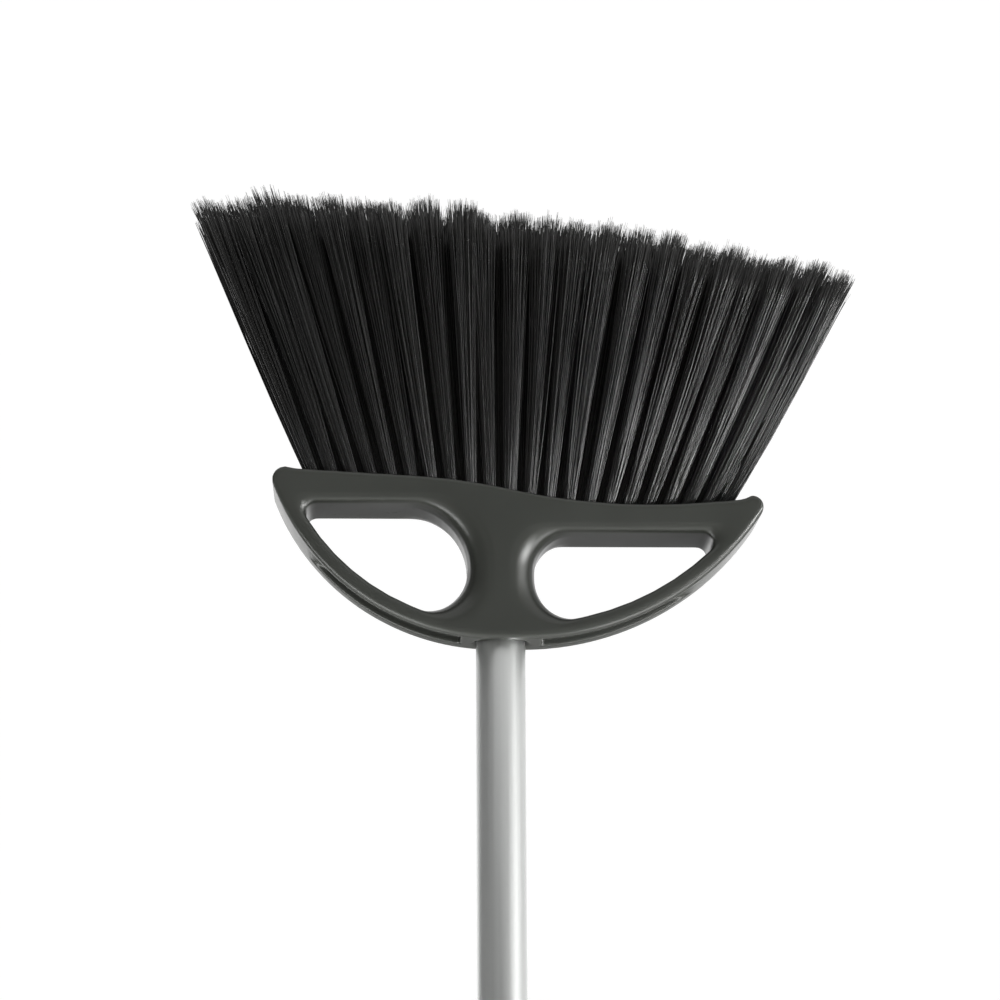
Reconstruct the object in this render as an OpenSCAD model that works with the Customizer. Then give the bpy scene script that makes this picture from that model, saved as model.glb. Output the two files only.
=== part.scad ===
// Lobby broom: an angled one-piece head with two windows, four rows of tufts and a threaded tube handle.
// Millimetres. The broom hangs from its hole: +Z runs up the handle, +X to the long side of the bristles.

/* [Handle] */
// Outside diameter of the tube
tube_od = 19.05; // [17:0.05:22]
// Wall of the tube
tube_wall = 1; // [0.8:0.1:1.6]
// Length of tube that shows above the head
tube_shown = 711; // [500:1:1000]
// How far the tube's inserted end is drawn in, on the radius
draw_in = 0.25; // [0.2:0.05:0.4]
// Height above the head at which the tube has its full diameter
draw_rise = 1; // [0.5:0.5:5]

/* [Hang cap] */
// Length of the plug inside the tube
cap_plug = 26; // [15:1:40]
// Height of the round collar on the end of the tube
cap_collar = 6; // [4:0.5:10]
// Chamfer on the collar and on the plug's end
cap_chamfer = 1.5; // [0.5:0.1:2]
// How far the cap lies inside the tube's surface
cap_drop = 0.25; // [0.2:0.05:0.5]
// Thickness of the flat tab
tab_thick = 10; // [7:0.5:13]
// Diameter of the hang hole
hang_d = 8; // [5:0.5:10]
// Height of the hang hole above the end of the tube
hang_rise = 17; // [15:0.5:24]
// Running clearance of the plug in the tube, on the radius
cap_clear = 0.06; // [0.03:0.01:0.1]

/* [Threaded tip] */
// Length of the tip's plug inside the tube
tip_plug = 30; // [20:1:50]
// Thickness of the flange between tube and thread
tip_flange = 3; // [2:0.5:5]
// Outside diameter of the thread
thread_d = 16; // [13:0.1:16.5]
// Length of the thread
thread_len = 22; // [16:1:24]
// Chamfer on the ends of the tip
tip_chamfer = 1.5; // [0.5:0.1:2]
// Clearance of the tip's plug in the tube, on the radius
tip_clear = 0.03; // [0.01:0.01:0.05]

/* [Socket] */
// Depth of the socket that takes the tube
socket_depth = 20; // [14:1:22]
// Clearance round the tube, on the radius
tube_clear = 0.3; // [0.15:0.05:0.4]
// Clearance round the thread, on the radius
thread_clear = 0.1; // [0.05:0.01:0.2]
// Free depth left under the thread
thread_spare = 4; // [2:0.5:5]
// How far the mouth opens beyond the socket, on the radius and in depth
mouth_lead = 1.5; // [0.5:0.1:2]
// Wall of the neck round the socket
neck_wall = 3; // [2.5:0.1:4]
// Wall of the boss round the mouth
boss_wall = 4.4; // [3:0.1:6]

/* [Head] */
// Reach of the head from the handle axis on the long side
head_long = 88; // [80:0.5:100]
// Reach of the head on the short side
head_short = 101; // [95:0.5:112]
// Half width of the level mouth on the long side
level_long = 1.9; // [0:0.1:6]
// Half width of the level mouth on the short side
level_short = 9; // [4:0.1:14]
// Radius of the corner on the long side
corner_long = 5; // [3:0.5:6]
// Radius of the corner on the short side
corner_short = 4.5; // [3:0.5:5]
// How far the ear on the long side stands past the bristle edge
ear_long = 0.6; // [0:0.1:2]
// How far the ear on the short side stands past the bristle edge
ear_short = 1.4; // [0:0.1:2]
// Length over which an ear rises
ear_run = 4; // [2:0.5:6]
// Thickness of the head at the mouth
mouth_thick = 29.6; // [28:0.2:34]
// Thickness of the head at the bristle edge
rim_thick = 35.6; // [34:0.2:42]
// Rounding of the edges at the bristles
edge_round = 1; // [0.8:0.1:2]
// Rounding of the arms' outer edges
arm_round = 2.5; // [0.8:0.1:3]

/* [Bristle edge] */
// Depth of the middle of the S-shaped edge below the mouth
ogee_depth = 57.5; // [56:0.5:64]
// Place of that middle along the head
ogee_x = -4; // [-10:0.5:4]
// Radius of the two arcs of the S
ogee_r = 250; // [220:5:320]
// Slope in the middle of the S, in degrees
ogee_slope = 12.2; // [10:0.1:14]
// Slope of the long end, in degrees
long_slope = 3.3; // [1:0.1:5]
// Slope of the short end, in degrees
short_slope = -4.3; // [-6:0.1:-2]

/* [Windows] */
// Width of the arms outside the windows
arm_width = 6.1; // [5:0.1:7]
// Depth of the long side's window below the mouth
window_long = 52.4; // [49:0.2:53.4]
// Depth of the short side's window below the mouth
window_short = 41.2; // [38:0.2:42]
// Radius of the windows' corner at the neck and the arm
neck_low_r = 16; // [12:0.5:17]
// Radius of the long side's corner at the neck and the block
neck_high_long = 25; // [15:0.5:25]
// Radius of the short side's corner at the neck and the block
neck_high_short = 15; // [10:0.5:16]
// Radius of the tail of each window
tail_r = 4; // [2:0.1:5]
// How far the neck's flank rounds inwards
neck_blend = 9.5; // [4:0.5:10]
// Depth of that rounding below the face
neck_blend_depth = 10; // [6:0.5:12]
// Rounding of the windows' other edges
window_round = 2.2; // [0.6:0.1:2.6]
// Rounding of their edges at the block
block_round = 3.2; // [0.6:0.1:4]

/* [Arm grooves] */
// Width of the groove along each arm
groove_width = 15.5; // [6:0.5:17]
// How far the groove lies in front of the head's middle
groove_ahead = 3; // [0:0.5:3.5]
// Depth of the groove
groove_depth = 3.4; // [1.5:0.1:4]
// Angle from the handle at which the groove on the long arm ends
groove_long = 52; // [35:1:53]
// Angle from the handle at which the groove on the short arm ends
groove_short = 37; // [28:1:40]
// Angle over which each groove fades into the arm
groove_fade = 7; // [4:1:18]

/* [Bristles] */
// Tufts in a full row
tufts = 22; // [18:1:24]
// Strands in a tuft
strands = 5; // [4:1:5]
// Width across the flats of a strand
strand_width = 1; // [0.6:0.1:1.1]
// Diameter of a tuft where it leaves the head
tuft_d = 4.4; // [3.6:0.1:5]
// First tuft's place on the long side
tuft_long = 72; // [68:0.5:77]
// Last tuft's place on the short side
tuft_short = 86.5; // [84:0.5:92]
// Width of the recess that the rows fill
recess_width = 26.4; // [22:0.2:28]
// Depth of the recess in the bristle edge
recess_depth = 3; // [2.5:0.1:4]
// Margin between the end tufts and the recess's ends
recess_margin = 1; // [0.5:0.1:2]
// Thickness of the backing under each row
backing = 2; // [1.2:0.1:2.4]
// Height of the point above the mouth that the rows fan out from
fan_height = 119; // [105:1:170]
// Place of that point along the head
fan_x = 0.5; // [-8:0.5:4]
// Length from the mouth to the tips under the handle
tip_depth = 165; // [130:1:190]
// Rise of the tip line, in degrees
tip_slope = 6.75; // [4:0.25:9]
// Radius of the tip line, which is longest under the handle
tip_curve = 1300; // [700:10:3000]
// Height above the mouth of the line that the rows spread from
spread_height = 66; // [40:1:300]

/* [Staples] */
// Width of the flat wire anchor across a tuft
staple_width = 4.8; // [4:0.1:5.4]
// Height of the anchor
staple_height = 3; // [2:0.1:4]
// Thickness of the wire
staple_thick = 0.4; // [0.3:0.05:0.6]

/* [Hidden] */
$fn = 64;

head_color = "#3f4240";
bristle_color = "#1c1c1a";
steel_color = "#a9adb0";
tube_color = "#c9cccd";
tip_color = "#2b2c2c";
cap_color = "#202121";

// Rows of tufts, one node each
rows = 4;
// Margin by which a cut runs past the solid that it opens
past = 10;
// Depth to which a strand is set in its backing
set_in = 0.8;
// Columns across the head between its two corners
columns = 64;
// Steps along an arm's groove
groove_steps = 28;
// Columns round each corner, up to this angle
corner_steps = [25, 50, 75];
// Steps of a window's small bends
bend_steps = 6;
// Turns of a rounded edge
quarter = [0, 30, 60, 90];

tube_id = tube_od - 2 * tube_wall;
drawn_r = tube_od / 2 - draw_in;
socket_r = tube_od / 2 + tube_clear;
mouth_r = socket_r + mouth_lead;
thread_r = thread_d / 2;
thread_bore_r = thread_r + thread_clear;
neck_half = socket_r + neck_wall;
boss_half = mouth_r + boss_wall;
cap_r = tube_od / 2 - cap_drop;
// Height of the hang hole above the socket's mouth
hang_height = tube_shown + hang_rise;

// The two sides of the head: [direction along X, reach, level half width, corner radius, window depth,
// neck's high corner, groove's end angle, ear]
LONG = [1, head_long, level_long, corner_long, window_long, neck_high_long, groove_long, ear_long];
SHORT = [-1, head_short, level_short, corner_short, window_short, neck_high_short, groove_short, ear_short];

// The S-shaped bristle edge: an arc each side of its middle, then a straight run
function s_turn(end_slope) = ogee_r * (sin(ogee_slope) - sin(end_slope));
function s_arc(run) =
    ogee_r * (cos(asin(sin(ogee_slope) - run / ogee_r)) - cos(ogee_slope));
function s_rise(run, end_slope) =
    run < s_turn(end_slope) ? s_arc(run)
    : s_arc(s_turn(end_slope)) + (run - s_turn(end_slope)) * tan(end_slope);
function edge_z(x) =
    x > ogee_x ? -ogee_depth - s_rise(x - ogee_x, long_slope)
    : -ogee_depth + s_rise(ogee_x - x, short_slope);

// A smooth step from 0 to 1
function eased(u) = u >= 1 ? 1 : u * u * (3 - 2 * u);

// Half the head's thickness at a height
function half_thick(z) = (mouth_thick - (rim_thick - mouth_thick) * z / ogee_depth) / 2;

// The arm on each side is an arc from the level mouth to the rounded corner, tangent to both
function corner_x(side) = side[1] - side[3];
function ear_z(side, reach) =
    edge_z(side[0] * reach) - side[7] * eased(max(0, (reach - corner_x(side)) / ear_run + 1));
function corner_z(side) = ear_z(side, corner_x(side)) + side[3];
function arm_r(side) =
    let (dx = corner_x(side) - side[2], dz = -corner_z(side))
    (dx * dx + dz * dz - side[3] * side[3]) / (2 * (dz - side[3]));
function arm_top(side, reach) =
    let (r = arm_r(side), dx = reach - side[2], cx = corner_x(side))
    let (touch = cx + side[3] * (cx - side[2]) / (r - side[3]))
    dx <= 0 ? 0
    : reach < touch ? sqrt(r * r - dx * dx) - r
    : corner_z(side) + sqrt(side[3] * side[3] - (reach - cx) * (reach - cx));
function top_z(x) = x > 0 ? arm_top(LONG, x) : arm_top(SHORT, -x);
function corner_low(side, reach) =
    let (over = reach - corner_x(side))
    corner_z(side) - sqrt(side[3] * side[3] - over * over);
function low_z(x) =
    x > corner_x(LONG) ? corner_low(LONG, x)
    : -x > corner_x(SHORT) ? corner_low(SHORT, -x)
    : x > 0 ? ear_z(LONG, x)
    : ear_z(SHORT, -x);

// Columns of the head's loft, from the short end to the long end
head_columns = concat(
    [for (i = [len(corner_steps) - 1:-1:0]) -corner_x(SHORT) - corner_short * sin(corner_steps[i])],
    [for (i = [0:columns]) -corner_x(SHORT) + (corner_x(LONG) + corner_x(SHORT)) * i / columns],
    [for (a = corner_steps) corner_x(LONG) + corner_long * sin(a)]);

// One section of the head across its thickness, with rounded edges
function head_section(x) =
    let (low = low_z(x), top = top_z(x), room = 0.45 * (top - low))
    let (r = min(edge_round, room), q = min(arm_round, room))
    let (half = concat(
        [for (a = quarter) [half_thick(low) - r * (1 - sin(a)), low + r * (1 - cos(a))]],
        [for (a = quarter) [half_thick(top) - q * (1 - cos(a)), top - q * (1 - sin(a))]]))
    concat(
        [for (p = half) [x, -p[0], p[1]]],
        [for (i = [len(half) - 1:-1:0]) [x, half[i][0], half[i][1]]]);

// A closed skin over a row of loops that have the same number of points
module skin(loops) {
    n = len(loops[0]);
    last = len(loops) - 1;
    sides = [for (k = [0:last - 1]) for (i = [0:n - 1]) let (j = (i + 1) % n)
        each [[k * n + i, k * n + j, (k + 1) * n + j], [k * n + i, (k + 1) * n + j, (k + 1) * n + i]]];
    start = [for (i = [1:n - 2]) [0, i + 1, i]];
    finish = [for (i = [1:n - 2]) [last * n, last * n + i, last * n + i + 1]];
    polyhedron([for (l = loops) each l], concat(sides, start, finish));
}

module head_blank() skin([for (x = head_columns) head_section(x)]);

// A window is bounded by four straight or round edges, each given by its outward angle and its distance
function crossing(a, da, b, db) =
    [(da * sin(b) - db * sin(a)) / sin(b - a), (db * cos(a) - da * cos(b)) / sin(b - a)];
function corner_arc(a, da, b, db, r, steps) =
    let (c = crossing(a, da - r, b, db - r))
    [for (i = [0:steps]) let (t = a + (b - a) * i / steps) c + r * [cos(t), sin(t)]];

// The loop of a window, opened out by its own amount at the neck, at the block and elsewhere
function window_loop(side, at_neck, at_block, elsewhere) =
    let (r = arm_r(side), inner = r - arm_width, cx = side[2])
    let (low_a = acos((neck_half + neck_low_r - cx) / (inner - neck_low_r)))
    let (tail_a = asin((tail_r - side[4] + r) / (inner - tail_r)))
    let (bend_z = (inner - neck_low_r) * sin(low_a) - r, high_r = min(side[5], bend_z + side[4]))
    let (block = side[4] + at_block, neck = at_neck - neck_half)
    let (tail = cx * cos(tail_a) - r * sin(tail_a) + inner + elsewhere)
    let (arm = cx * cos(low_a) - r * sin(low_a) + inner + elsewhere)
    concat(
        corner_arc(-90, block, tail_a, tail, tail_r, bend_steps),
        corner_arc(tail_a, tail, low_a, arm, inner + elsewhere, bend_steps),
        corner_arc(low_a, arm, 180, neck, neck_low_r, 2 * bend_steps),
        corner_arc(180, neck, 270, block, high_r, 2 * bend_steps));

// How far an edge that rounds over has opened at a depth below the face
function opened(depth, width, full_depth) =
    let (u = max(0, min(1, 1 - depth / full_depth))) width * (1 - sqrt(1 - u * u));

module window(side) {
    depths = [0.025, 0.06, 0.12, 0.2, 0.3, 0.55, 1] * neck_blend_depth;
    faces = concat([[-past, 0], [0.01 * neck_blend_depth, 0]], [for (d = depths) [d, d]]);
    front = [for (f = faces) [for (p = window_loop(side, opened(f[1], neck_blend, neck_blend_depth),
        opened(f[1], block_round, block_round), opened(f[1], window_round, window_round)))
        [side[0] * p[0], half_thick(p[1]) - f[0], p[1]]]];
    loops = concat(
        [for (l = front) [for (p = l) [p[0], -p[1], p[2]]]],
        [for (i = [len(front) - 1:-1:0]) front[i]]);
    skin(side[0] > 0 ? loops : [for (i = [len(loops) - 1:-1:0]) loops[i]]);
}

// The cored groove along the outer edge of an arm: full depth from the boss, then fading into a smooth cheek
module arm_groove(side) {
    r = arm_r(side);
    start = asin((boss_half - side[2]) / r);
    angles = [for (i = [0:groove_steps]) start + (side[6] - start) * i / groove_steps];
    floor_line = [for (a = angles)
        (r - groove_depth * eased((side[6] - a) / groove_fade)) * [sin(a), cos(a)]];
    mirror([side[0] > 0 ? 0 : 1, 0, 0])
        translate([side[2], -groove_ahead, -r])
            rotate([90, 0, 0])
                linear_extrude(groove_width, center = true)
                    polygon(concat(floor_line,
                        [for (a = [side[6], start]) (r + past) * [sin(a), cos(a)]]));
}

// The stepped socket: a flared mouth, the seat of the tube and the bore of the thread
module socket() {
    rotate_extrude()
        polygon([[0, past], [mouth_r, past], [mouth_r, 0], [socket_r, -mouth_lead],
            [socket_r, -socket_depth], [thread_bore_r, -socket_depth],
            [thread_bore_r, -socket_depth - thread_len - thread_spare],
            [0, -socket_depth - thread_len - thread_spare]]);
}

recess_over = tuft_d / 2 + recess_margin;
recess_ends = [-tuft_short - recess_over, tuft_long + recess_over];
recess_xs = [for (i = [0:columns]) recess_ends[0] + (recess_ends[1] - recess_ends[0]) * i / columns];

// A band that follows the bristle edge between two heights above it
module edge_band(low, high, width) {
    rotate([90, 0, 0])
        linear_extrude(width, center = true)
            polygon(concat([for (x = recess_xs) [x, edge_z(x) + low]],
                [for (i = [columns:-1:0]) [recess_xs[i], edge_z(recess_xs[i]) + high]]));
}

module head() {
    color(head_color)
        translate([0, 0, -hang_height])
            difference() {
                head_blank();
                window(LONG);
                window(SHORT);
                arm_groove(LONG);
                arm_groove(SHORT);
                socket();
                edge_band(-past, recess_depth, recess_width);
            }
}

row_width = recess_width / rows;
tuft_pitch = (tuft_long + tuft_short) / (tufts - 1);
function row_y(row) = (row - (rows - 1) / 2) * row_width;
// Every other row has one tuft fewer, set between its neighbours'
function row_tufts(row) =
    let (shift = row % 2)
    [for (i = [0:tufts - 1 - shift]) [tuft_long - (i + shift / 2) * tuft_pitch, row_y(row)]];

// Strands leave a tuft's foot from one middle place and an outer ring
function strand_feet(tuft) =
    let (ring = (tuft_d - strand_width * sqrt(2)) / 2)
    [for (i = [0:strands - 1]) i == 0 ? tuft
        : tuft + ring * [cos(i * 360 / (strands - 1) + 45), sin(i * 360 / (strands - 1) + 45)]];

// A strand runs from its foot, away from the fan's centre, to the slanted and curved line of the tips
function strand_ends(foot) =
    let (z = edge_z(foot[0]) + recess_depth - backing, reach = foot[0] - fan_x)
    let (drop = fan_height - z, slope = tan(tip_slope) - fan_x / tip_curve, bend = 0.5 / tip_curve)
    let (a = bend * reach * reach, b = drop - slope * reach)
    let (c = fan_height + tip_depth + tan(tip_slope) * fan_x - bend * fan_x * fan_x)
    let (k = 2 * c / (b + sqrt(b * b + 4 * a * c)), tip_z = fan_height - k * drop)
    [[foot[0], foot[1], z],
        [fan_x + k * reach, foot[1] * (spread_height - tip_z) / (spread_height - z), tip_z]];

module strand(ends) {
    way = ends[1] - ends[0];
    along = way / norm(way);
    translate(ends[0] - set_in * along)
        rotate([0, acos(along[2]), atan2(along[1], along[0])])
            cylinder(h = norm(way) + set_in, d = strand_width * sqrt(2), $fn = 4);
}

// One row of tufts, standing on its slice of the head's backing
module bristle_row(row) {
    color(bristle_color)
        translate([0, 0, -hang_height])
            union() {
                translate([0, row_y(row), 0])
                    edge_band(recess_depth - backing, recess_depth, row_width);
                for (t = row_tufts(row))
                    for (foot = strand_feet(t))
                        strand(strand_ends(foot));
            }
}

// The flat wire anchors that hold one row's tufts, driven through the backing into the head
module staple_row(row) {
    color(steel_color)
        translate([0, 0, -hang_height])
            for (t = row_tufts(row))
                translate([t[0], t[1], edge_z(t[0]) + recess_depth - backing / 2 + staple_height / 2])
                    cube([staple_width, staple_thick, staple_height], center = true);
}

// The tube: its lower end, which enters the head, is drawn in a little
module handle_tube() {
    bore_r = tube_id / 2;
    seat = tip_flange - socket_depth;
    color(tube_color)
        translate([0, 0, -hang_height])
            rotate_extrude()
                polygon([[bore_r, seat], [drawn_r, seat], [drawn_r, draw_rise],
                    [tube_od / 2, draw_rise], [tube_od / 2, tube_shown], [bore_r, tube_shown]]);
}

// The tip: a plug in the tube, a flange that seats in the socket, and the body of the thread
module handle_tip() {
    plug_r = tube_id / 2 - tip_clear;
    seat = -socket_depth;
    plug_top = seat + tip_flange + tip_plug;
    color(tip_color)
        translate([0, 0, -hang_height])
            rotate_extrude()
                polygon([[0, seat - thread_len], [thread_r - tip_chamfer, seat - thread_len],
                    [thread_r, seat - thread_len + tip_chamfer], [thread_r, seat],
                    [drawn_r, seat], [drawn_r, seat + tip_flange],
                    [plug_r, seat + tip_flange], [plug_r, plug_top - tip_chamfer],
                    [plug_r - tip_chamfer, plug_top], [0, plug_top]]);
}

// The cap: a plug in the tube, a round collar on its end, and a flat tab with the hang hole
module hang_cap() {
    plug_r = tube_id / 2 - cap_clear;
    color(cap_color)
        difference() {
            union() {
                translate([0, 0, -hang_rise])
                    rotate_extrude()
                        polygon([[0, -cap_plug], [plug_r - cap_chamfer, -cap_plug],
                            [plug_r, -cap_plug + cap_chamfer], [plug_r, 0], [cap_r, 0],
                            [cap_r, cap_collar - cap_chamfer], [cap_r - cap_chamfer, cap_collar],
                            [0, cap_collar]]);
                intersection() {
                    rotate([90, 0, 0])
                        linear_extrude(tab_thick, center = true)
                            union() {
                                circle(cap_r);
                                translate([-cap_r, cap_collar / 2 - hang_rise])
                                    square([2 * cap_r, hang_rise - cap_collar / 2]);
                            }
                    translate([0, 0, -hang_rise])
                        cylinder(r = cap_r, h = hang_rise + cap_r + past);
                }
            }
            rotate([90, 0, 0])
                cylinder(d = hang_d, h = tube_od + past, center = true);
        }
}

head();
bristle_row(0);  // bristle_row_1
bristle_row(1);  // bristle_row_2
bristle_row(2);  // bristle_row_3
bristle_row(3);  // bristle_row_4
staple_row(0);  // staple_row_1
staple_row(1);  // staple_row_2
staple_row(2);  // staple_row_3
staple_row(3);  // staple_row_4
handle_tube();
handle_tip();
hang_cap();
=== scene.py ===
"""The looks of a lobby broom: moulded head, fanned bristles, aluminium tube, threaded tip and hang cap."""

import logging
import math
from dataclasses import dataclass, field
from enum import Enum
from typing import Any, Iterable

import bpy
import numpy as np
from mathutils import Matrix, Vector

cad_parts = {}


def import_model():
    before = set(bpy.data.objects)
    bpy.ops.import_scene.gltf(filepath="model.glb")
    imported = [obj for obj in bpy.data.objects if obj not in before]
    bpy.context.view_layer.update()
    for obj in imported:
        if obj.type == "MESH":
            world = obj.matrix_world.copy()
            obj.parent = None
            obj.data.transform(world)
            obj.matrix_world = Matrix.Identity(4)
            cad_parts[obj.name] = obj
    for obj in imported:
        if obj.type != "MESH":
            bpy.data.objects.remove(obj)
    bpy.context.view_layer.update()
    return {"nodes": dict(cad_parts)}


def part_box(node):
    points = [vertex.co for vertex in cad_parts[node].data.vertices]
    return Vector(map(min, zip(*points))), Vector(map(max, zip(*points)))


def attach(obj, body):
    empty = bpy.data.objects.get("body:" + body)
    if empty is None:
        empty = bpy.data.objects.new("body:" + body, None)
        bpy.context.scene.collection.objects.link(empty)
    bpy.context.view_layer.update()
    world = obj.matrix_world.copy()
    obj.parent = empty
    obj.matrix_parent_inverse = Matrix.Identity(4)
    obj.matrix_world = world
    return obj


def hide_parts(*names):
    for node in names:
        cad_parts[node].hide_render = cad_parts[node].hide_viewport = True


LOG = logging.getLogger("broom")
MM = 0.001
ROWS = 4
SEED = 100
GOLDEN_ANGLE = math.pi * (3.0 - math.sqrt(5.0))
WHITE = (1.0, 1.0, 1.0, 1.0)

Point = tuple[float, float, float]
Colour = tuple[float, float, float]


class Body(Enum):
    """The rigid bodies that pieces ride on."""

    HEAD = "head"
    HANDLE = "handle"
    CAP = "hang_cap"


class Slot(Enum):
    """The record's material slots."""

    HEAD = "head_plastic"
    BRISTLE = "bristle"
    STAPLE = "staple_wire"
    TUBE = "tube"
    TIP = "tip_plastic"
    CAP = "cap_plastic"


# The bench: hand moves that the pieces share


class Bench:
    """Picks up, shapes and puts down one object at a time."""

    WELD = 1e-6
    SLIVER = 1e-7

    @staticmethod
    def take(piece: bpy.types.Object) -> None:
        """Selects one object alone and makes it the active one.

        Args:
            piece: The object to work on.
        """
        Bench.clear()
        piece.select_set(True)
        bpy.context.view_layer.objects.active = piece

    @staticmethod
    def clear() -> None:
        """Deselects everything, so that an operator acts on nothing old."""
        for other in bpy.context.selected_objects:
            other.select_set(False)

    @staticmethod
    def settle(name: str) -> bpy.types.Object:
        """Names the object just added and moves its place into its mesh.

        Args:
            name: The piece's name.

        Returns:
            The object, at the origin, unturned and unscaled.
        """
        piece = bpy.context.object
        piece.name = name
        piece.data.name = name
        bpy.ops.object.transform_apply(location=True, rotation=True, scale=True)
        return piece

    @staticmethod
    def modify(piece: bpy.types.Object, kind: str, **settings: Any) -> None:
        """Adds one modifier and applies it.

        Args:
            piece: The object to change.
            kind: Blender's name for the modifier.
            **settings: The modifier's own values.
        """
        Bench.take(piece)
        bpy.ops.object.modifier_add(type=kind)
        modifier = piece.modifiers[-1]
        for key, value in settings.items():
            setattr(modifier, key, value)
        bpy.ops.object.modifier_apply(modifier=modifier.name)

    @staticmethod
    def combine(piece: bpy.types.Object, other: bpy.types.Object, operation: str) -> None:
        """Joins to, or cuts from, a solid and throws the second solid away.

        Args:
            piece: The solid that stays.
            other: The solid that is used up.
            operation: UNION, DIFFERENCE or INTERSECT.
        """
        Bench.modify(piece, "BOOLEAN", object=other, operation=operation, solver="EXACT")
        bpy.data.objects.remove(other)

    @staticmethod
    def close_up(piece: bpy.types.Object) -> None:
        """Merges doubles, closes open ends and points all faces outwards.

        Args:
            piece: The mesh object to mend.
        """
        Bench.take(piece)
        bpy.ops.object.mode_set(mode="EDIT")
        bpy.ops.mesh.select_all(action="SELECT")
        bpy.ops.mesh.remove_doubles(threshold=Bench.WELD)
        bpy.ops.mesh.dissolve_degenerate(threshold=Bench.SLIVER)
        bpy.ops.mesh.select_all(action="SELECT")
        bpy.ops.mesh.fill_holes(sides=0)
        bpy.ops.mesh.select_all(action="SELECT")
        bpy.ops.mesh.normals_make_consistent(inside=False)
        bpy.ops.object.mode_set(mode="OBJECT")

    @staticmethod
    def smooth(piece: bpy.types.Object, angle: float = 35.0) -> None:
        """Shades a piece smooth, apart from edges sharper than an angle.

        Args:
            piece: The mesh object to shade.
            angle: The sharpest smooth edge, in degrees.
        """
        Bench.take(piece)
        bpy.ops.object.shade_smooth_by_angle(angle=math.radians(angle))

    @staticmethod
    def outline(name: str, points: Iterable[Point]) -> bpy.types.Object:
        """Adds a closed loop of edges and draws it out to given places.

        Args:
            name: The piece's name.
            points: The loop's corners in order.

        Returns:
            The loop as a mesh object with no faces.
        """
        places = list(points)
        Bench.clear()
        bpy.ops.mesh.primitive_circle_add(vertices=len(places), fill_type="NOTHING")
        loop = Bench.settle(name)
        for vertex, place in zip(loop.data.vertices, places):
            vertex.co = place
        return loop

    @staticmethod
    def turned(name: str, profile: Iterable[tuple[float, float]], steps: int) -> bpy.types.Object:
        """Spins a closed profile round the Z axis, as on a lathe.

        Args:
            name: The piece's name.
            profile: Points of radius and height, in order round the profile.
            steps: Steps in the full turn.

        Returns:
            The turned solid.
        """
        piece = Bench.outline(name, [(radius, 0.0, height) for radius, height in profile])
        bpy.ops.object.mode_set(mode="EDIT")
        bpy.ops.mesh.select_all(action="SELECT")
        bpy.ops.mesh.spin(steps=steps, angle=2.0 * math.pi, center=(0, 0, 0), axis=(0, 0, 1))
        bpy.ops.object.mode_set(mode="OBJECT")
        Bench.close_up(piece)
        return piece

    @staticmethod
    def copy_of(node: bpy.types.Object, name: str) -> bpy.types.Object:
        """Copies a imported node's mesh into a new object and merges its loose triangles.

        Args:
            node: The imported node.
            name: The new piece's name.

        Returns:
            The merged copy.
        """
        piece = bpy.data.objects.new(name, node.data.copy())
        piece.data.name = name
        piece.data.materials.clear()
        bpy.context.scene.collection.objects.link(piece)
        Bench.take(piece)
        bpy.ops.mesh.customdata_custom_splitnormals_clear()
        bpy.ops.object.mode_set(mode="EDIT")
        bpy.ops.mesh.select_all(action="SELECT")
        bpy.ops.mesh.remove_doubles(threshold=Bench.WELD)
        bpy.ops.object.mode_set(mode="OBJECT")
        return piece


# Shader tools


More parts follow.
